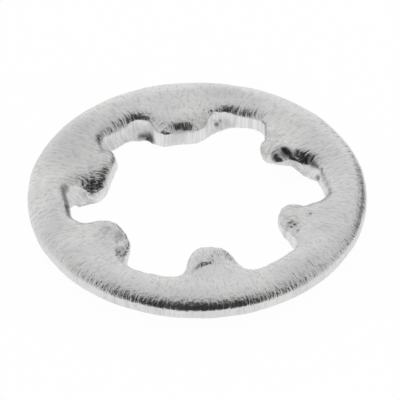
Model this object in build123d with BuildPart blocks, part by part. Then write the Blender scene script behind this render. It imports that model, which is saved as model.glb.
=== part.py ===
# Toothed lock washer with six internal teeth, stamped and twisted out of one spring steel sheet.
# The sheet's mid-plane is z = 0, the axis of the ring is Z and the first tooth lies along +X.
# The press turned each tooth by its own amount, always with the clockwise flank up, seen from above.
import os
from math import cos, radians, sin, sqrt, tan

from build123d import *

os.makedirs("parts", exist_ok=True)

# Driving sizes, in millimetres and degrees.
outer_diameter = 6.0
tip_circle_diameter = 3.26  # the tooth tips stand on it, round the screw
root_circle_diameter = 4.54  # bottom of the gullets
sheet_thickness = 0.42
tooth_count = 6
tooth_tip_width = 0.72  # between the two flanks, where they would meet the tip
tooth_flank_lean = 25.0  # each flank leans this much from the tooth's own centre line
tooth_nose_radius = 0.35  # between the tip and each flank
gullet_corner_radius = 0.28  # between a flank and the root circle
tooth_twists = (12.0, 30.0, 0.0, 22.0, 18.0, 15.0)  # counter-clockwise from the first tooth
tooth_end_length = 0.15  # stretch of a tooth, from its tip, that has the whole twist
neck_margin = 0.05  # flat metal between the deepest point of the gullet corners and the neck
neck_sections = 5
rim_roll_depth = 0.16  # how far down the cut rolled the upper side of the outer edge
rim_roll_width = 0.34  # how far in from the outer edge that roll begins
rim_bottom_roll = 0.18  # rounding of the outer edge, lower side
opening_roll = 0.17  # rounding of the upper edge all round the opening and the teeth
least_land = 0.02  # straight metal that stays between two roundings of one wall

# Radii, half sizes and angles that follow from them.
outer_radius = outer_diameter / 2
tip_radius = tip_circle_diameter / 2
root_radius = root_circle_diameter / 2
half_thickness = sheet_thickness / 2
half_tip_width = tooth_tip_width / 2

# Lean, offset from the ring's centre and length of the flanks of a tooth on +X.
lean = radians(tooth_flank_lean)
flank_offset = half_tip_width * cos(lean) - tip_radius * sin(lean)
flank_start = half_tip_width * sin(lean) + tip_radius * cos(lean)
flank_length = sqrt(root_radius**2 - flank_offset**2) - flank_start

# A rounding has at most half of its wall, and the rim's roll ends short of the opening's.
half_flank = (flank_length - least_land) / 2
half_wall = (sheet_thickness - least_land) / 2
nose_radius = min(tooth_nose_radius, half_flank / tan(radians(90 - tooth_flank_lean) / 2))
corner_radius = min(gullet_corner_radius, half_flank)
rim_land = outer_radius - root_radius - opening_roll - least_land
roll_width = min(rim_roll_width, rim_land)
roll_depth = min(rim_roll_depth, half_wall)
bottom_roll = min(rim_bottom_roll, half_wall)

# Centre of the gullet corner beside that tooth: it touches the flank and the root circle.
corner_offset = flank_offset + corner_radius
corner_reach = sqrt((root_radius - corner_radius) ** 2 - corner_offset**2)
corner_x = corner_reach * cos(lean) - corner_offset * sin(lean)
corner_y = corner_reach * sin(lean) + corner_offset * cos(lean)

# A tooth is flat outside neck_outer and fully twisted inside neck_inner.
neck_outer = corner_x + corner_radius - neck_margin
neck_inner = tip_radius + tooth_end_length

# Plan of one tooth along +X: a blunt tip on two leaning flanks that run on into the ring.
base_x = (outer_radius + root_radius) / 2
half_base_width = half_tip_width + (base_x - tip_radius) * tan(lean)
with BuildSketch() as tooth_plan:
    with BuildLine():
        Polyline(
            (base_x, -half_base_width),
            (tip_radius, -half_tip_width),
            (tip_radius, half_tip_width),
            (base_x, half_base_width),
            close=True,
        )
    make_face()
    fillet(tooth_plan.vertices().group_by(Axis.X)[0], nose_radius)

# Plan of the opening: the root circle less the teeth, with rounded gullet corners.
with BuildSketch() as opening_plan:
    Circle(root_radius)
    with PolarLocations(0, tooth_count):
        add(tooth_plan.sketch, mode=Mode.SUBTRACT)
    gullet_corners = opening_plan.vertices().sort_by_distance((0, 0))[-2 * tooth_count :]
    fillet(gullet_corners, corner_radius)

# The blank as it leaves the press: flat, with edges rolled by the cut and rounded by tumbling.
with BuildPart() as blank:
    with BuildSketch(Plane.XZ):
        with BuildLine():
            Polyline(
                (outer_radius - roll_width, half_thickness),
                (0, half_thickness),
                (0, -half_thickness),
                (outer_radius, -half_thickness),
                (outer_radius, half_thickness - roll_depth),
            )
            EllipticalCenterArc(
                (outer_radius - roll_width, half_thickness - roll_depth),
                roll_width,
                roll_depth,
                start_angle=0,
                arc_size=90,
            )
        make_face()
    revolve(axis=Axis.Z)
    extrude(opening_plan.sketch, amount=sheet_thickness, both=True, mode=Mode.SUBTRACT)
    opening_edge = blank.faces().sort_by(Axis.Z)[-1].inner_wires()[0].edges()
    bottom_rim = blank.faces().sort_by(Axis.Z)[0].outer_wire().edges()
    fillet(opening_edge, opening_roll)
    fillet(bottom_rim, bottom_roll)

# One tooth of the blank, cut off where its neck begins.
with BuildPart() as flat_tooth:
    tooth_block = Box(
        neck_outer,
        2 * corner_y,
        2 * sheet_thickness,
        align=(Align.MIN, Align.CENTER, Align.CENTER),
    )
    add(blank.part, mode=Mode.INTERSECT)

# The free end of that tooth, still flat.
with BuildPart() as tooth_end:
    add(flat_tooth.part)
    split(bisect_by=Plane.YZ.offset(neck_inner), keep=Keep.BOTTOM)

# Sections of the neck, still flat, with the share of the twist that each takes on later.
# Those between the first and the last have each rolled corner redrawn as a quarter of an ellipse.
roll_height = half_thickness - opening_roll
neck_profiles = []
for step in range(neck_sections):
    share = step / (neck_sections - 1)
    eased_share = share * share * (3 - 2 * share)
    station = Plane.YZ.offset(neck_outer + (neck_inner - neck_outer) * share)
    profile = section(flat_tooth.part, station)
    if 0 < step < neck_sections - 1:
        level_edges = profile.edges().filter_by(Axis.Y).sort_by(Axis.Z)
        half_sole = level_edges[0].length / 2
        half_top = level_edges[-1].length / 2
        roll_width = half_sole - half_top
        with BuildSketch(station) as redrawn:
            with BuildLine():
                EllipticalCenterArc(
                    (half_top, roll_height), roll_width, opening_roll, start_angle=0, arc_size=90
                )
                Line((half_top, half_thickness), (-half_top, half_thickness))
                EllipticalCenterArc(
                    (-half_top, roll_height), roll_width, opening_roll, start_angle=90, arc_size=90
                )
                Polyline(
                    (-half_sole, roll_height),
                    (-half_sole, -half_thickness),
                    (half_sole, -half_thickness),
                    (half_sole, roll_height),
                )
            make_face()
        profile = redrawn.sketch
    neck_profiles.append((profile, eased_share))

# Each tooth after the press has turned it about its own centre line.
twisted_teeth = []
for index in range(tooth_count):
    twist = tooth_twists[index % len(tooth_twists)]
    with BuildPart() as twisted_tooth:
        loft([profile.rotate(Axis.X, -twist * share) for profile, share in neck_profiles])
        add(tooth_end.part, rotation=(-twist, 0, 0))
    twisted_teeth.append(twisted_tooth.part)

# The whole washer: the ring keeps its flat tooth roots, and the twisted teeth close on them.
with BuildPart() as lock_washer:
    add(blank.part)
    with PolarLocations(0, tooth_count):
        add(tooth_block, mode=Mode.SUBTRACT)
    for index, tooth in enumerate(twisted_teeth):
        add(tooth, rotation=(0, 0, 360 * index / tooth_count))

lock_washer.part.label = "lock_washer"
export_step(lock_washer.part, "parts/lock_washer.step")
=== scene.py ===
from math import cos, radians, sin

import bpy
import numpy as np
from mathutils import Matrix, Vector


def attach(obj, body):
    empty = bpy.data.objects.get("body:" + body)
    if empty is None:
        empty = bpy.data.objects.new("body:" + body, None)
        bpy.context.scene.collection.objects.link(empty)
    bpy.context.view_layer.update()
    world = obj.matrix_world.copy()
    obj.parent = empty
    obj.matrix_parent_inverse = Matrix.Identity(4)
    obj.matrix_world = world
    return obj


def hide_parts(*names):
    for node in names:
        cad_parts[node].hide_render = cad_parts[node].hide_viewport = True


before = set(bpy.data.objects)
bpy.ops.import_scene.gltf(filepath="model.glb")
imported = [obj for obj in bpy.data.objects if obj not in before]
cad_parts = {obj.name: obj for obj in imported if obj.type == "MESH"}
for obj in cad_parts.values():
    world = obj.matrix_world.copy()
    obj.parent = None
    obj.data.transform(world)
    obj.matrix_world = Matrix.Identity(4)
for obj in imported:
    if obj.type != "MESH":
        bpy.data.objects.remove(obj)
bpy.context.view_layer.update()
print("frame loaded")

metre = 1000  # every length below is in millimetres

# The flat blank as it leaves the press, with angles in degrees.
washer = {
    "outerRadius": 3.0,
    "thickness": 0.4,
    "tipRadius": 1.597,  # the tooth tips stand on this circle
    "rootRadius": 2.214,  # bottom of the gullets
    "tipWidth": 0.661,
    "flankLean": 26.433,
    "leastFlank": 0.015,  # a flank stays straight for at least this far
    "noseRadius": 0.322,
    "cornerRadius": 0.312,
    "openingRollDepth": 0.177,  # the upper edge round the opening, drawn down by the punch
    "openingRollWidth": 0.288,
    "rimRollDepth": 0.2,  # the same on the outer edge
    "rimRollWidth": 0.45,
    "rimFootDepth": 0.15,
    "rimFootWidth": 0.1,
    "burr": 0.03,
    "flare": 2.6,  # how late down the wall a ledge runs out
    "dish": 0.038,  # the ring is very slightly hollow
    "lowest": -0.355,  # no tooth is bent lower than this
    "lowestRound": 0.055,  # and from this far above it the bend eases off
}

# How the press left each tooth and the gullet after it, counter-clockwise from +X.
teeth = {
    "twist": (11.46, 33.22, -2.44, 20.75, 17.59, 13.86),  # degrees, clockwise flank up
    "neckOuter": (2.069, 2.069, 2.12, 2.12, 2.2, 2.2),  # the twist begins here
    "neckInner": (1.833, 1.833, 1.75, 1.79, 1.72, 1.72),  # and is complete here
    "lift": (0.061, 0.079, 0.037, -0.004, 0.006, 0.033),  # tooth upwards
    "cwCurl": (-0.016, -0.042, -0.046, -0.078, 0.027, 0.019),  # flanks upwards
    "ccwCurl": (0.017, 0.063, -0.091, -0.04, 0.037, 0.02),
    "tipCurl": (0.054, 0.069, -0.07, 0.046, -0.03, 0.043),  # tip upwards
    "noseDip": (-0.031, 0.041, 0.04, -0.072, -0.04, -0.033),  # middle of the nose downwards
    "reach": (0.038, 0.054, -0.039, 0.0, -0.078, 0.06),  # towards the centre
    "swing": (0.025, -0.007, 0.067, 0.116, -0.007, -0.022),  # sideways, counter-clockwise
    "spread": (-0.074, -0.204, 0.069, 0.24, -0.089, 0.007),  # wider by this share
    "cwRoot": (0.048, 0.01, 0.028, 0.048, 0.04, -0.037),  # gullet corners outwards
    "ccwRoot": (0.024, 0.01, 0.025, 0.059, -0.01, -0.077),
    "gulletReach": (0.038, 0.027, 0.007, 0.042, 0.018, 0.059),  # gullet outwards
    "gulletSag": (0.036, 0.039, 0.035, -0.067, -0.002, -0.026),  # gullet downwards
    "gulletTilt": (0.038, 0.053, 0.021, 0.025, -0.003, -0.037),  # its far side downwards
    # how far the foot of the cut wall stands out, at places along the edge
    "gulletLedge": (-0.04, -0.012, 0.113, -0.053, 0, 0),
    "cwCornerLedge": (-0.02, 0.08, 0.221, 0.178, 0, -0.039),
    "ccwCornerLedge": (-0.009, 0.007, 0.273, 0.256, 0.01, 0),
    "tipLedge": (-0.127, -0.097, -0.08, 0.0, -0.005, -0.003),
    # how much deeper the edge is rolled there, as a share of its usual depth
    "cwFlankRoll": (0.663, 0.707, -0.5, 0.062, -0.382, 0.064),
    "ccwFlankRoll": (0.837, -0.35, -0.5, 0.566, -0.177, 0.01),
    "tipRoll": (-0.141, 0.894, -0.6, -0.154, -0.507, -0.264),
    "gulletRoll": (0.2, -0.042, 0.02, 0.1, -0.162, -0.361),
    "cwCornerRoll": (-1.502, -0.278, -0.467, -0.206, -0.093, 0.187),
    "ccwCornerRoll": (0.3, -0.169, -0.323, 0.017, 0.371, 0.72),
}

# Those places: middle and width, where 0 and 1 are the gullets before and after the tooth.
places = {
    "cwFlank": (0.34, 0.12),
    "ccwFlank": (0.66, 0.12),
    "tip": (0.5, 0.12),
    "gullet": (0, 0.11),
    "cwCorner": (0.17, 0.09),
    "ccwCorner": (0.83, 0.09),
}

# How the press spreads its marks.
press = {
    "leastRoll": 0.25,  # share of the usual depth that a rolled edge keeps
    "leastWall": 0.02,  # height of cut wall that the deepest roll leaves
    "steadyRoll": 0.6,  # share of the roll's width that doesn't follow its depth
    "rollWidths": (0.17, 0.33),  # narrowest and widest
    "rollRidges": (2.5, 0.006),  # uneven depth of the roll: width in points, height
    "rollEvened": 0.05,  # share of a tooth's edge over which the roll is evened out
    "ledgeEvened": 0.045,
    "fanOut": 1.8,  # how early the rows on top turn towards the rim
    "hangFrom": 0.15,  # a tooth starts to lean this far outside its neck
    "curlAt": 0.45,  # half the width of a tooth, where the curl has its full height
    "curlLimit": 1.15,
    "noseFrom": 2.1,  # the nose bends inside this radius
    "noseCurlLength": 0.6,
    "noseDipLength": 0.55,
    "noseDipWidth": 0.32,
    "flatFrom": 2.9,  # outside this radius the ring is flat
    "dishLength": 1.0,
    "gulletLength": 0.5,  # the gullets are pressed fully this far inside the flat part
    "noseFree": 1.5,  # and not at all inside this radius
    "noseFreeLength": 0.4,
    "rootAt": 21,  # the corners of the gullets: angle from the middle of the tooth
    "rootWide": 6,
}

# Rows of points round the section of the ring, and points along the edge of each tooth.
mesh = {
    "alongTooth": 180,
    "burr": 3,
    "wall": 7,
    "openingRoll": 12,
    "top": 34,
    "rimRoll": 12,
    "rimFoot": 6,
    "underside": 12,
}

# One number to start each random pattern, so that every run gives the same washer.
seeds = {
    "rollRidges": 3,
    "swell": 0,
    "ripple": 1,
    "cutFine": 5,
    "cutBroad": 6,
    "drawn": 7,
    "rumples": 20,  # the first rumpled place, the next ones count on from here
}

toothCount = len(teeth["twist"])
pitch = 2 * np.pi / toothCount
bent = {name: np.array(values, dtype=float) for name, values in teeth.items()}


def ease(share):
    share = np.clip(share, 0, 1)
    return share**3 * (share * (6 * share - 15) + 10)


def hump(x, centre, width):
    return np.exp(-(((x - centre) / width) ** 2))


def arc(centreX, centreY, radius, start, end, count):
    angle = np.linspace(start, end, count)
    return np.c_[centreX + radius * np.cos(angle), centreY + radius * np.sin(angle)]


def softLimit(x, low, high, softness=0.08):
    # x held between two values, with a gradual turn at both
    share = (x - low) / (high - low)
    rise = np.sqrt(share**2 + softness**2)
    fall = np.sqrt((1 - share) ** 2 + softness**2)
    return low + (high - low) * 0.5 * (rise - fall + 1)


def toothEdge(count, tipPoints=6, bendPoints=40, gulletPoints=30):
    # evenly spaced points along the edge of one tooth on +X, from gullet to gullet
    lean = radians(washer["flankLean"])
    halfTip = washer["tipWidth"] / 2
    tip = washer["tipRadius"]
    root = washer["rootRadius"]
    corner = washer["cornerRadius"]
    offset = halfTip * cos(lean) - tip * sin(lean) + corner
    along = np.sqrt((root - corner) ** 2 - offset**2)
    cornerX = along * cos(lean) - offset * sin(lean)
    cornerY = along * sin(lean) + offset * cos(lean)
    quarter = np.tan((np.pi / 2 - lean) / 2)
    longest = (along - washer["leastFlank"] - halfTip * sin(lean) - tip * cos(lean)) / quarter
    nose = min(washer["noseRadius"], longest)
    noseY = halfTip - nose * quarter
    turn = np.arctan2(cornerY, cornerX)
    half = np.vstack([
        np.c_[np.full(tipPoints, tip), np.linspace(0, max(noseY, 0), tipPoints)],
        arc(tip + nose, noseY, nose, np.pi, np.pi / 2 + lean, bendPoints),
        arc(cornerX, cornerY, corner, lean - np.pi / 2, turn, bendPoints),
        arc(0, 0, root, turn, pitch / 2, gulletPoints),
    ])
    step = np.linalg.norm(np.diff(half, axis=0), axis=1)
    half = half[np.r_[True, step > 1e-6]]  # without the doubled points
    whole = np.vstack([half[::-1] * [1, -1], half[1:]])
    run = np.r_[0, np.cumsum(np.linalg.norm(np.diff(whole, axis=0), axis=1))]
    share = np.linspace(0, 1, count, endpoint=False)
    x = np.interp(share * run[-1], run, whole[:, 0])
    y = np.interp(share * run[-1], run, whole[:, 1])
    return x, y, share


def openingEdge(count):
    # the whole opening: points, direction into the metal, spoke angle, share along each tooth
    x, y, share = toothEdge(count)
    points = []
    spoke = []
    for tooth in range(toothCount):
        turn = tooth * pitch
        points.append(np.c_[x * cos(turn) - y * sin(turn), x * sin(turn) + y * cos(turn)])
        spoke.append(turn + pitch * (share - 0.5))
    points = np.vstack(points)
    ahead = np.roll(points, -1, 0) - np.roll(points, 1, 0)
    ahead /= np.linalg.norm(ahead, axis=1, keepdims=True)
    inward = np.c_[ahead[:, 1], -ahead[:, 0]]
    return points, inward, np.concatenate(spoke), np.tile(share, toothCount)


def evened(line, width):
    # a closed line of points, each made the weighted mean of its neighbours
    reach = int(4 * width) + 1
    shifts = np.arange(-reach, reach + 1)
    weights = np.exp(-0.5 * (shifts / width) ** 2)
    weights /= weights.sum()
    return sum(weight * np.roll(line, -shift, 0) for weight, shift in zip(weights, shifts))


def ridges(seed, width, rise):
    # uneven heights round the opening, as the punch draws them
    heights = np.random.default_rng(seed).normal(size=toothCount * mesh["alongTooth"])
    heights = evened(heights, width)
    return rise * heights / heights.std()


def marksOf(kind, spoke, share):
    # one kind of mark, added up over its places along the edge
    tooth = np.repeat(np.arange(toothCount), mesh["alongTooth"])
    gullet = np.floor(spoke / pitch).astype(int) % toothCount
    total = 0
    for name, (middle, width) in places.items():
        if name + kind in bent:
            inGullet = name == "gullet"
            at = np.minimum(share, 1 - share) if inGullet else share
            total = total + bent[name + kind][gullet if inGullet else tooth] * hump(at, middle, width)
    return total


def punchedEdge():
    # the opening as the punch leaves it: its edge and spoke angles, the direction into the metal,
    # how deep and how far in the edge is rolled, and the foot of the cut wall
    edge, inward, spoke, share = openingEdge(mesh["alongTooth"])
    height = washer["thickness"] - washer["burr"] - press["leastWall"]
    deepest = height / washer["openingRollDepth"]
    deep = softLimit(1 + marksOf("Roll", spoke, share), press["leastRoll"], deepest)
    rollDepth = washer["openingRollDepth"] * deep
    rollDepth += ridges(seeds["rollRidges"], *press["rollRidges"])
    steady = press["steadyRoll"]
    rollWidth = washer["openingRollWidth"] * (steady + (1 - steady) * deep)
    rollWidth = softLimit(rollWidth, *press["rollWidths"])
    rolled = evened(inward * rollWidth[:, None], press["rollEvened"] * mesh["alongTooth"])
    ledge = inward * marksOf("Ledge", spoke, share)[:, None]
    foot = edge - evened(ledge, press["ledgeEvened"] * mesh["alongTooth"])
    return edge, spoke, inward, rollDepth, rolled, foot


def pressedBlank():
    # the flat blank: one row of points for each step round the section
    edge, spoke, inward, rollDepth, rolled, foot = punchedEdge()
    out = np.c_[np.cos(spoke), np.sin(spoke)]
    half = washer["thickness"] / 2
    burr = washer["burr"]
    rows = []
    zones = []

    def addRow(plan, height, zone):
        rows.append(np.c_[plan, np.broadcast_to(height, len(plan))])
        zones.append(zone)

    for q in np.linspace(0, 1, mesh["burr"]):
        turn = q * np.pi / 2
        addRow(foot + inward * burr * (1 - sin(turn)), burr * (1 - cos(turn)) - half, "wall")
    for q in np.linspace(0, 1, mesh["wall"] + 1)[1:]:
        height = burr - half + (2 * half - burr - rollDepth) * q
        addRow(edge + (foot - edge) * (1 - q) ** washer["flare"], height, "wall")
    for q in np.linspace(0, 1, mesh["openingRoll"] + 1)[1:]:
        turn = q * np.pi / 2
        addRow(edge + rolled * (1 - cos(turn)), half - rollDepth * (1 - sin(turn)), "roll")
    innerLip = edge + rolled
    lipRadius = np.hypot(*innerLip.T)
    lipSpoke = np.arctan2(innerLip[:, 1], innerLip[:, 0])
    fan = (spoke - lipSpoke + np.pi) % (2 * np.pi) - np.pi
    outerLip = washer["outerRadius"] - washer["rimRollWidth"]
    for q in np.linspace(0, 1, mesh["top"] + 1)[1:-1]:
        radius = lipRadius + (outerLip - lipRadius) * q
        turn = lipSpoke + fan * q ** press["fanOut"]
        addRow(np.c_[radius * np.cos(turn), radius * np.sin(turn)], half, "top")
    for q in np.linspace(0, 1, mesh["rimRoll"] + 1):
        turn = (1 - q) * np.pi / 2
        radius = washer["outerRadius"] - washer["rimRollWidth"] * (1 - cos(turn))
        addRow(out * radius, half - washer["rimRollDepth"] * (1 - sin(turn)), "rim")
    for q in np.linspace(0, 1, mesh["rimFoot"] + 1):
        turn = q * np.pi / 2
        radius = washer["outerRadius"] - washer["rimFootWidth"] * (1 - cos(turn))
        addRow(out * radius, washer["rimFootDepth"] * (1 - sin(turn)) - half, "rim")
    innerFoot = foot + inward * burr
    outerFoot = out * (washer["outerRadius"] - washer["rimFootWidth"])
    for q in np.linspace(0, 1, mesh["underside"] + 1)[1:-1]:
        addRow(outerFoot + (innerFoot - outerFoot) * q, -half, "underside")
    return np.array(rows), zones


def twisted(blank):
    # what the press did to the teeth and gullets, and the slight hollow of the ring
    x, y, z = blank.reshape(-1, 3).T
    radius = np.hypot(x, y)
    spoke = np.arctan2(y, x)
    nearest = np.round(spoke / pitch)
    tooth = nearest.astype(int) % toothCount
    turn = tooth * pitch
    along = x * np.cos(turn) + y * np.sin(turn)
    across = y * np.cos(turn) - x * np.sin(turn)

    # each tooth by itself
    neck = bent["neckOuter"][tooth]
    share = ease((neck - radius) / (neck - bent["neckInner"][tooth]))
    twist = np.radians(bent["twist"][tooth]) * share
    hung = neck + press["hangFrom"]
    hang = np.clip((hung - radius) / (hung - washer["tipRadius"]), 0, 1) ** 2
    side = np.clip(across / press["curlAt"], -press["curlLimit"], press["curlLimit"])
    curl = np.where(side < 0, bent["cwCurl"][tooth], bent["ccwCurl"][tooth]) * side**2 * share
    inNose = press["noseFrom"] - radius
    tipEnd = ease(inNose / press["noseCurlLength"])
    dip = hump(across, 0, press["noseDipWidth"]) * ease(inNose / press["noseDipLength"])
    inRing = press["flatFrom"] - radius
    along = along - bent["reach"][tooth] * hang
    across = across * (1 + bent["spread"][tooth] * share) + bent["swing"][tooth] * hang
    height = (
        z * np.cos(twist)
        - across * np.sin(twist)
        + curl
        + bent["lift"][tooth] * hang
        + bent["tipCurl"][tooth] * tipEnd
        - bent["noseDip"][tooth] * dip
        - washer["dish"] * ease(inRing / press["dishLength"])
    )
    across = across * np.cos(twist) + z * np.sin(twist)
    x = along * np.cos(turn) - across * np.sin(turn)
    y = along * np.sin(turn) + across * np.cos(turn)

    # the gullets between them
    before = np.floor(spoke / pitch)
    gullet = before.astype(int) % toothCount
    fromGullet = spoke - (before + 0.5) * pitch
    fromTooth = spoke - nearest * pitch
    outOfNose = ease((radius - press["noseFree"]) / press["noseFreeLength"])
    band = ease(inRing / press["gulletLength"]) * outOfNose
    middle = np.cos(fromGullet / pitch * np.pi) ** 2 * band
    height -= bent["gulletSag"][gullet] * middle
    height -= bent["gulletTilt"][gullet] * middle * fromGullet / (pitch / 4)
    rootAt = radians(press["rootAt"])
    rootWide = radians(press["rootWide"])
    push = bent["gulletReach"][gullet] * middle + band * (
        bent["ccwRoot"][tooth] * hump(fromTooth, rootAt, rootWide)
        + bent["cwRoot"][tooth] * hump(fromTooth, -rootAt, rootWide)
    )
    outward = 1 + push / np.hypot(x, y)

    # the lowest places are bent back a little
    rounded = washer["lowestRound"]
    limit = washer["lowest"] + rounded
    under = np.maximum(limit - height, 0)
    height = np.maximum(height, limit) - rounded * (1 - np.exp(-under / rounded))
    return np.c_[x * outward, y * outward, height].reshape(blank.shape)


# Unevenness of the surface and single marks.
relief = {
    "swell": (0.45, 0.009),  # size and height of the broad waves
    "ripple": (0.17, 0.0018),  # and of the small ones
    "cutFine": (1.1, 0.0028),  # ridges down the cut walls: width in points, height
    "cutBroad": (4.5, 0.005),
    "drawn": (1.3, 0.0016),  # the same ridges on the rolled edge
    # rumpled places: x, y, z, radius, size of the rumples, height
    "rumples": (
        (1.14, 1.45, 0.14, 0.2, 0.05, 0.005),
        (1.37, 1.5, 0.07, 0.2, 0.05, 0.005),
        (1.6, 1.48, 0.03, 0.16, 0.05, 0.005),
        (-0.87, 1.48, 0.09, 0.2, 0.055, 0.008),
        (-0.9, 1.44, -0.1, 0.34, 0.07, 0.006),
        (-1.78, -0.33, 0.04, 0.26, 0.06, 0.009),
        (-0.45, 2.07, -0.08, 0.16, 0.06, 0.008),
        (-2.2, 0.72, 0.1, 0.12, 0.05, 0.006),
    ),
    # scoops, pits and scratches: both ends, radius, depth (a minus stands up)
    "strokes": (
        (-0.94, 1.41, 0.085, -0.74, 1.52, 0.06, 0.11, 0.055),
        (1.08, 1.42, 0.18, 1.3, 1.52, 0.11, 0.09, 0.022),
        (1.3, 1.52, 0.11, 1.6, 1.52, 0.06, 0.09, 0.02),
        (1.5, 1.46, 0, 1.72, 1.42, -0.02, 0.12, 0.03),
        (-1.72, -0.2, 0.1, -1.82, -0.46, -0.04, 0.13, 0.012),
        (2.0, -0.34, 0.18, 2.01, -0.35, 0.18, 0.03, 0.035),
        (1.983, -0.272, 0.19, 2.0, -0.28, 0.19, 0.024, 0.024),
        (2.055, -0.302, 0.18, 2.07, -0.29, 0.18, 0.022, 0.022),
        (1.88, -0.283, 0.2, 1.89, -0.28, 0.2, 0.022, 0.018),
        (1.91, -0.366, 0.15, 1.92, -0.36, 0.16, 0.022, 0.018),
        (1.95, -0.33, 0.18, 1.94, -0.31, 0.19, 0.024, 0.022),
        (2.05, -0.42, 0.173, 2.03, -0.43, 0.17, 0.022, 0.022),
        (2.1, 0.08, 0.168, 2.08, 0.02, 0.167, 0.03, 0.025),
        (1.787, -0.023, 0.211, 1.886, -0.039, 0.197, 0.02, 0.007),
        (-0.815, -1.62, 0.16, -0.78, -1.7, 0.15, 0.09, 0.03),
        (-0.68, -1.96, 0.12, -0.65, -2.04, 0.13, 0.1, 0.03),
        (-1.12, -1.68, 0.2, -0.98, -1.74, 0.19, 0.15, -0.025),
        (1.77, 1.38, -0.18, 1.79, 1.36, -0.17, 0.035, 0.03),
        (1.745, 1.434, 0.016, 1.81, 1.35, -0.08, 0.014, 0.012),
        (-1.49, 1.336, -0.2, -1.46, 1.36, -0.26, 0.06, 0.04),
        (-1.54, 1.42, 0.05, -1.53, 1.4, -0.14, 0.035, -0.018),
        (-1.65, 1.273, -0.15, -1.66, 1.27, -0.2, 0.018, 0.014),
        (-0.388, 2.09, -0.164, -0.41, 2.08, -0.16, 0.028, 0.022),
        (-0.56, 2.07, 0.09, -0.45, 2.14, 0.03, 0.02, 0.022),
        (-0.63, 2.05, 0.12, -0.65, 2.12, 0.15, 0.018, 0.02),
        (0.86, -1.99, 0.2, 0.98, -2.13, 0.2, 0.012, 0.005),
        (0.93, -1.96, 0.2, 1.06, -2.1, 0.2, 0.012, 0.005),
        (1.24, -1.78, 0.2, 1.5, -1.82, 0.2, 0.016, 0.006),
    ),
    # fold at the neck of a tooth: its line seen from above, height of the far side,
    # width of the step and how far the far side stays up
    "foldLine": ((0.66, -2.16), (0.7, -2.03), (0.8, -1.83), (0.905, -1.742), (0.97, -1.72)),
    "foldRise": 0.04,
    "foldWidth": 0.012,
    "foldFade": 0.17,
}


def pebbled(points, size, seed, cells=64, firstCell=500):
    # smooth random heights, one to each cell of the given size
    heights = np.random.default_rng(seed).uniform(-1, 1, (cells, cells, cells))
    cell = points / size + firstCell
    low = np.floor(cell).astype(int)
    part = cell - low
    part = part * part * (3 - 2 * part)
    total = 0
    for corner in range(8):
        step = np.array([corner & 1, corner >> 1 & 1, corner >> 2 & 1])
        weight = np.prod(np.where(step, part, 1 - part), -1)
        at = (low + step) % cells
        total = total + weight * heights[at[..., 0], at[..., 1], at[..., 2]]
    return total


def fromStroke(points, start, end):
    # distance of every point from a straight stroke
    start = np.array(start)
    span = np.array(end) - start
    away = points - start
    share = np.clip(away @ span / max(span @ span, 1e-12), 0, 1)
    return np.linalg.norm(away - share[..., None] * span, axis=-1)


def folded(plan):
    # height of a step along a line, highest in its middle
    line = np.array(relief["foldLine"])
    pieces = len(line) - 1
    nearest = np.full(plan.shape[:-1], np.inf)
    rise = np.zeros(plan.shape[:-1])
    for number, (start, end) in enumerate(zip(line[:-1], line[1:])):
        span = end - start
        length = np.linalg.norm(span)
        away = plan - start
        share = np.clip(away @ span / length**2, 0, 1)
        reach = np.linalg.norm(away - share[..., None] * span, axis=-1)
        side = (away[..., 1] * span[0] - away[..., 0] * span[1]) / length
        run = (number + share) / pieces
        step = 0.5 + 0.5 * np.tanh(side / relief["foldWidth"])
        here = step * np.sin(np.pi * run) * np.exp(-((reach / relief["foldFade"]) ** 2))
        rise = np.where(reach < nearest, here, rise)
        nearest = np.minimum(nearest, reach)
    return relief["foldRise"] * rise


def outwards(points):
    # the direction out of the metal at every point
    across = np.roll(points, -1, 0) - np.roll(points, 1, 0)
    along = np.roll(points, -1, 1) - np.roll(points, 1, 1)
    normal = np.cross(across, along)
    return normal / np.maximum(np.linalg.norm(normal, axis=-1, keepdims=True), 1e-12)


def uneven(points, zones):
    # the bent washer with its unevenness and marks
    zone = np.array(zones)[:, None]
    height = np.zeros(points.shape[:2])
    for name in ("swell", "ripple"):
        size, rise = relief[name]
        height += rise * pebbled(points, size, seeds[name])
    wall = np.where(zone == "wall", 1.0, 0.0)
    rollRows = [row for row, name in enumerate(zones) if name == "roll"]
    rollShare = np.zeros(zone.shape)
    rollShare[rollRows, 0] = np.linspace(1, 0, len(rollRows) + 1)[1:]
    cut = wall + rollShare**2
    height += cut * ridges(seeds["cutFine"], *relief["cutFine"])
    height += cut * ridges(seeds["cutBroad"], *relief["cutBroad"])
    height += np.sin(rollShare * np.pi) * ridges(seeds["drawn"], *relief["drawn"])
    for seed, (*centre, radius, size, rise) in enumerate(relief["rumples"], seeds["rumples"]):
        mask = np.exp(-((np.linalg.norm(points - centre, axis=-1) / radius) ** 4))
        height += mask * rise * pebbled(points, size, seed)
    for *ends, radius, depth in relief["strokes"]:
        near = fromStroke(points, ends[:3], ends[3:])
        height -= depth * np.exp(-((near / radius) ** 2))
    above = (points[..., 2] > 0) & (zone != "underside")
    height += above * folded(points[..., :2])
    return points + outwards(points) * height[..., None]


def makeMesh(name, points):
    rows, around, _ = points.shape
    index = np.arange(rows * around).reshape(rows, around)
    above = np.roll(index, -1, 0)
    faces = np.stack([index, above, np.roll(above, -1, 1), np.roll(index, -1, 1)], -1)
    data = bpy.data.meshes.new(name)
    data.from_pydata((points.reshape(-1, 3) / metre).tolist(), [], faces.reshape(-1, 4).tolist())
    data.polygons.foreach_set("use_smooth", [True] * len(data.polygons))
    data.update()
    return data


def addValues(data, name, values):
    # one number for every point of a mesh, for its material to read
    layer = data.attributes.new(name, "FLOAT", "POINT")
    layer.data.foreach_set("value", values.ravel())


def newObject(name, data):
    made = bpy.data.objects.new(name, data)
    bpy.context.scene.collection.objects.link(made)
    return made


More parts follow.
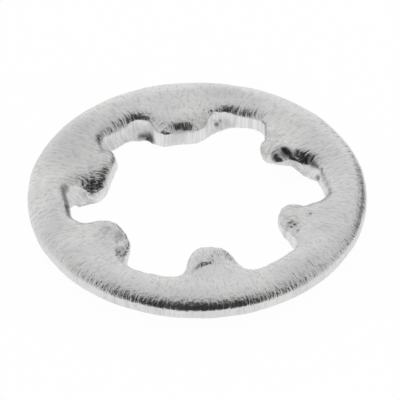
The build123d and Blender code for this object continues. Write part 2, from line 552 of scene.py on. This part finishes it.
blank, zones = pressedBlank()
points = uneven(twisted(blank), zones)
washerMesh = makeMesh("lockWasher", points)
piece = newObject("lockWasher", washerMesh)
print("washer made:", len(washerMesh.polygons), "faces")


def newNode(tree, kind, inputs=None, **settings):
    # an input that is another node's output is linked, any other is set
    node = tree.nodes.new(kind)
    for name, value in settings.items():
        setattr(node, name, value)
    for name, value in (inputs or {}).items():
        if isinstance(value, bpy.types.NodeSocket):
            tree.links.new(value, node.inputs[name])
        else:
            node.inputs[name].default_value = value
    return node


def newMaterial(name):
    material = bpy.data.materials.new(name)
    material.use_nodes = True
    material.node_tree.nodes.clear()
    return material, material.node_tree


def mixed(tree, factor, first, second, kind="FLOAT"):
    # first where factor is 0, second where it is 1; each kind has its own sockets
    one, two, result = (2, 3, 0) if kind == "FLOAT" else (6, 7, 2)
    inputs = {0: factor, one: first, two: second}
    return newNode(tree, "ShaderNodeMix", inputs, data_type=kind).outputs[result]


def noise(tree, where, scale, detail, rough):
    inputs = {"Vector": where, "Scale": scale, "Detail": detail, "Roughness": rough}
    return newNode(tree, "ShaderNodeTexNoise", inputs).outputs["Fac"]


def ranged(tree, value, low, high, first=0.0, last=1.0):
    inputs = {
        "Value": value,
        "From Min": low,
        "From Max": high,
        "To Min": first,
        "To Max": last,
    }
    return newNode(tree, "ShaderNodeMapRange", inputs, interpolation_type="SMOOTHSTEP").outputs[0]


def maths(tree, operation, *values):
    return newNode(tree, "ShaderNodeMath", dict(enumerate(values)), operation=operation).outputs[0]


def vectorMaths(tree, operation, inputs, output="Vector"):
    node = newNode(tree, "ShaderNodeVectorMath", inputs, operation=operation)
    return node.outputs[output]


# Bright zinc on steel, with scales per millimetre.
finish = {
    "zincLight": (0.75, 0.75, 0.735, 1),
    "zincDark": (0.69, 0.68, 0.695, 1),
    "zincTones": (0.35, 0.65),  # the patches turn from dark to light between these values
    "zincWorn": (0.61, 0.605, 0.61, 1),
    "wornTones": (0.36, 0.52),
    "wornLines": 0.6,  # share of the drawn lines in the wear, the rest is grain
    "cutLight": (0.97, 0.975, 0.965, 1),
    "cutDark": (0.8, 0.81, 0.805, 1),
    "cutTones": (0.36, 0.64),
    "cutEdge": (0.55, 0.8),  # where the plating gives way to the cut wall
    "cutRagged": 0.5,  # how much the drawn lines fray that edge
    "cutRoughness": 0.5,
    "cutMetallic": 0.3,  # the torn surface is duller than the plating
    "roughness": (0.19, 0.26),  # of the plating, from patch to patch
    "roughnessTones": (0.3, 0.7),
    "lines": (23, 2.0, 0.55),  # drawn lines: scale, detail, roughness of the noise
    "lineRing": 2.6,  # radius of the ring on which their width is measured
    "lineStretch": 3.2,  # how much longer than wide they are
    "lineHeight": 0.013,
    "grain": (15, 3.0, 0.6),
    "grainHeight": 0.011,
    "patches": (1.7, 4.0, 0.55),
    # painted shade: near-black colour for dark reflections and shadow in pits and creases
    "paintedShade": (0.05, 0.05, 0.05, 1),
    # painted shade, at places of dark reflection and shadow: x, y, z, radius, strength
    "paintedShadePlaces": (
        (-1.47, 1.35, -0.21, 0.09, 0.95),
        (-1.56, 1.33, -0.2, 0.06, 0.9),
        (-1.4, 1.33, -0.25, 0.08, 0.9),
        (1.77, 1.38, -0.18, 0.05, 0.9),
        (1.11, 1.45, 0.16, 0.11, 0.85),
        (1.3, 1.5, 0.1, 0.1, 0.6),
        (1.53, 1.51, 0.05, 0.1, 0.75),
        (1.64, 1.48, 0.02, 0.08, 0.8),
        (1.72, 1.44, 0.01, 0.05, 0.85),
        (-0.43, 2.08, -0.176, 0.05, 0.85),
        (-0.38, 2.15, -0.13, 0.025, 0.7),
        (-0.5, 2.09, -0.1, 0.03, 0.6),
        (-1.62, 1.3, -0.17, 0.035, 0.8),
        (-2.19, 0.72, 0.09, 0.04, 0.8),
        (-2.15, 0.66, 0.09, 0.03, 0.7),
        (2.035, -0.38, 0.175, 0.03, 0.7),
        (-0.82, -1.61, 0.15, 0.09, 0.3),
        (-0.7, -1.93, 0.12, 0.1, 0.3),
        (-0.95, 1.4, -0.1, 0.2, 0.2),
        (-0.87, 1.52, 0.12, 0.11, 0.5),
        (-2.4, 0.2, 0.19, 0.9, 0.14),
        (2.458, -0.194, 0.19, 0.14, 0.12),
    ),
}


def paintedShadeAt(points):
    # how much painted shade each point gets, from 0 to 1
    clear = np.ones(points.shape[:2])
    for *centre, radius, strength in finish["paintedShadePlaces"]:
        reach = np.linalg.norm(points - centre, axis=-1) / radius
        clear *= 1 - strength * np.exp(-(reach**3))
    return 1 - clear


def drawnAlong(tree, spot):
    # place on lines that run outwards from the centre
    parts = newNode(tree, "ShaderNodeSeparateXYZ", {0: spot})
    plan = {"X": parts.outputs["X"], "Y": parts.outputs["Y"]}
    level = newNode(tree, "ShaderNodeCombineXYZ", plan).outputs[0]
    unit = vectorMaths(tree, "NORMALIZE", {0: level})
    ringed = vectorMaths(tree, "SCALE", {0: unit, "Scale": finish["lineRing"]})
    distance = vectorMaths(tree, "LENGTH", {0: level}, "Value")
    stretched = maths(tree, "DIVIDE", distance, finish["lineStretch"])
    lifted = newNode(tree, "ShaderNodeCombineXYZ", {"Z": stretched}).outputs[0]
    return vectorMaths(tree, "ADD", {0: ringed, 1: lifted})


def platedSteel():
    material, tree = newMaterial("platedSteel")
    place = newNode(tree, "ShaderNodeTexCoord").outputs["Object"]
    spot = vectorMaths(tree, "SCALE", {0: place, "Scale": metre})
    lines = noise(tree, drawnAlong(tree, spot), *finish["lines"])
    grain = noise(tree, spot, *finish["grain"])
    patches = noise(tree, spot, *finish["patches"])
    wall = newNode(tree, "ShaderNodeAttribute", attribute_name="cutWall").outputs["Fac"]
    paintedShadeShare = newNode(tree, "ShaderNodeAttribute", attribute_name="paintedShadeShare").outputs["Fac"]

    # the plating, brighter and duller in patches and worn along the lines
    zincTone = ranged(tree, patches, *finish["zincTones"])
    zinc = mixed(tree, zincTone, finish["zincDark"], finish["zincLight"], "RGBA")
    wornLines = maths(tree, "MULTIPLY", lines, finish["wornLines"])
    wornGrain = maths(tree, "MULTIPLY", grain, 1 - finish["wornLines"])
    wornTone = ranged(tree, maths(tree, "ADD", wornLines, wornGrain), *finish["wornTones"])
    plating = mixed(tree, wornTone, finish["zincWorn"], zinc, "RGBA")
    sheen = ranged(tree, patches, *finish["roughnessTones"], *finish["roughness"])

    # the bare cut walls, with a frayed border, and the painted shade of dark reflections and shadowed
    # pits over both
    frayed = maths(tree, "MULTIPLY", maths(tree, "SUBTRACT", lines, 0.5), finish["cutRagged"])
    cut = ranged(tree, maths(tree, "ADD", wall, frayed), *finish["cutEdge"])
    cutTone = ranged(tree, lines, *finish["cutTones"])
    bare = mixed(tree, cutTone, finish["cutDark"], finish["cutLight"], "RGBA")
    colour = mixed(tree, cut, plating, bare, "RGBA")
    # painted shade: near-black mixed into the colour where the metal shows dark reflections and
    # shadowed pits
    colour = mixed(tree, paintedShadeShare, colour, finish["paintedShade"], "RGBA")

    grainHeight = maths(tree, "MULTIPLY", grain, finish["grainHeight"])
    height = maths(tree, "MULTIPLY_ADD", lines, finish["lineHeight"], grainHeight)
    bump = newNode(tree, "ShaderNodeBump", {"Strength": 1.0, "Distance": 1 / metre, "Height": height})
    metal = newNode(tree, "ShaderNodeBsdfPrincipled", {
        "Base Color": colour,
        "Metallic": mixed(tree, cut, 1.0, finish["cutMetallic"]),
        "Roughness": mixed(tree, cut, sheen, finish["cutRoughness"]),
        "Normal": bump.outputs[0],
    })
    newNode(tree, "ShaderNodeOutputMaterial", {0: metal.outputs[0]})
    return material


cutWall = np.repeat([zone == "wall" for zone in zones], points.shape[1])
addValues(washerMesh, "cutWall", cutWall.astype(float))
# painted shade: share of near-black at each point, for dark reflections and shadowed pits
addValues(washerMesh, "paintedShadeShare", paintedShadeAt(points))
washerMesh.materials.append(platedSteel())

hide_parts("lock_washer")
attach(piece, "root")
print("finish made:", len(finish["paintedShadePlaces"]), "dark places")

# The white table that it lies on.
table = {
    "halfSize": 600,
    "colour": (0.96, 0.96, 0.96, 1),
    "glow": 0.96,  # share of plain white in what the camera and the metal see of it
}


def whiteTable():
    material, tree = newMaterial("whiteTable")
    rays = newNode(tree, "ShaderNodeLightPath").outputs
    seen = maths(tree, "MAXIMUM", rays["Is Camera Ray"], rays["Is Glossy Ray"])
    paint = newNode(tree, "ShaderNodeBsdfDiffuse", {"Color": table["colour"]})
    glow = newNode(tree, "ShaderNodeEmission", {"Color": (1, 1, 1, 1), "Strength": 1.0})
    both = newNode(tree, "ShaderNodeMixShader", {
        0: maths(tree, "MULTIPLY", seen, table["glow"]),
        1: paint.outputs[0],
        2: glow.outputs[0],
    })
    newNode(tree, "ShaderNodeOutputMaterial", {0: both.outputs[0]})
    return material


side = table["halfSize"] / metre
low = float(points[..., 2].min()) / metre
corners = [(-side, -side, low), (side, -side, low), (side, side, low), (-side, side, low)]
floorMesh = bpy.data.meshes.new("floor")
floorMesh.from_pydata(corners, [], [(0, 1, 2, 3)])
floorMesh.materials.append(whiteTable())
floor = newObject("floor", floorMesh)
print("table made")

# Where the camera stands, and where a square image shows the washer.
view = {
    "elevation": 42.379,
    "azimuth": 21.065,
    "roll": 0.033,
    "distance": 75.0,
    "sensor": 36,
    "pixelsAcross": 400,
    "pixelsPerRadius": 169.759,
    "centreX": 197.258,  # pixel on which the middle of the washer falls
    "centreY": 195.191,
    "nearest": 1,
    "farthest": 10000,
}
elevation = radians(view["elevation"])
azimuth = radians(view["azimuth"])
roll = radians(view["roll"])
right = Vector((cos(azimuth), sin(azimuth), 0))
forward = Vector((-sin(azimuth) * cos(elevation), cos(azimuth) * cos(elevation), -sin(elevation)))
up = right.cross(forward)
rolledRight = right * cos(roll) - up * sin(roll)
rolledUp = right * sin(roll) + up * cos(roll)
pixel = washer["outerRadius"] / view["pixelsPerRadius"]
asideX = (view["pixelsAcross"] / 2 - view["centreX"]) * pixel
asideY = (view["centreY"] - view["pixelsAcross"] / 2) * pixel
lens = bpy.data.cameras.new("camera")
lens.sensor_width = view["sensor"]
lens.lens = view["distance"] / (view["pixelsAcross"] * pixel) * lens.sensor_width
lens.clip_start = view["nearest"] / metre
lens.clip_end = view["farthest"] / metre
camera = newObject("camera", lens)
turned = Matrix((rolledRight, rolledUp, -forward)).transposed().to_4x4()
turned.translation = (rolledRight * asideX + rolledUp * asideY - forward * view["distance"]) / metre
camera.matrix_world = turned
bpy.context.scene.camera = camera
print("camera placed")

# The bright room that shows in the metal: brightness, and angles in degrees.
studio = {
    "back": 0.99,  # away from the camera
    "sides": 0.78,
    "sideAngles": (45, 110),  # from straight back
    "low": 1.22,  # brighter near the table
    "lowAngles": (35, 75),  # from straight up
    "dark": 0.04,  # round the camera
    "darkAngles": (34, 57),  # from the camera: dark within the first, bright beyond the second
    "standAside": 50,  # a dull stand low down at the back, on the right
    "standAbove": 6,
    "standAngles": (6, 31),
    "standDark": 0.03,
    "onPaint": 1.1,  # on everything that doesn't mirror
    "lampSize": 250,
    "lampPower": 0.05,  # watts
    "lampPlace": (-80, 120, 300),
}


def towards(tree, target, angles, atNear, atFar):
    # a value by the angle from a direction: atNear within the first angle, atFar beyond the second
    seen = newNode(tree, "ShaderNodeTexCoord").outputs["Generated"]
    facing = vectorMaths(tree, "DOT_PRODUCT", {0: seen, 1: tuple(target)}, "Value")
    near, far = (cos(radians(angle)) for angle in angles)
    return ranged(tree, facing, far, near, atFar, atNear)


def brightRoom():
    world = bpy.data.worlds.new("studio")
    world.use_nodes = True
    tree = world.node_tree
    tree.nodes.clear()
    back = Vector((forward.x, forward.y, 0)).normalized()
    aside = radians(studio["standAside"])
    above = radians(studio["standAbove"])
    stand = (back * cos(aside) + right * sin(aside)) * cos(above) + Vector((0, 0, sin(above)))
    walls = towards(tree, back, studio["sideAngles"], studio["back"], studio["sides"])
    gap = towards(tree, -forward, studio["darkAngles"], studio["dark"], 1.0)
    dull = towards(tree, stand, studio["standAngles"], studio["standDark"], 1.0)
    sinking = towards(tree, (0, 0, 1), studio["lowAngles"], 1.0, studio["low"])
    mirrored = maths(tree, "MULTIPLY", walls, gap)
    mirrored = maths(tree, "MULTIPLY", mirrored, maths(tree, "MULTIPLY", dull, sinking))
    rays = newNode(tree, "ShaderNodeLightPath").outputs
    strength = mixed(tree, rays["Is Glossy Ray"], studio["onPaint"], mirrored)
    strength = mixed(tree, rays["Is Camera Ray"], strength, 1.0)
    sky = newNode(tree, "ShaderNodeBackground", {"Strength": strength})
    newNode(tree, "ShaderNodeOutputWorld", {0: sky.outputs[0]})
    return world


bpy.context.scene.world = brightRoom()
softbox = bpy.data.lights.new("softbox", "AREA")
softbox.size = studio["lampSize"] / metre
softbox.energy = studio["lampPower"]
lamp = newObject("softbox", softbox)
lamp.visible_glossy = False
lamp.location = Vector(studio["lampPlace"]) / metre
lamp.rotation_euler = (-lamp.location).to_track_quat("-Z", "Y").to_euler()

bpy.context.scene.view_settings.view_transform = "Standard"
print("studio lit")
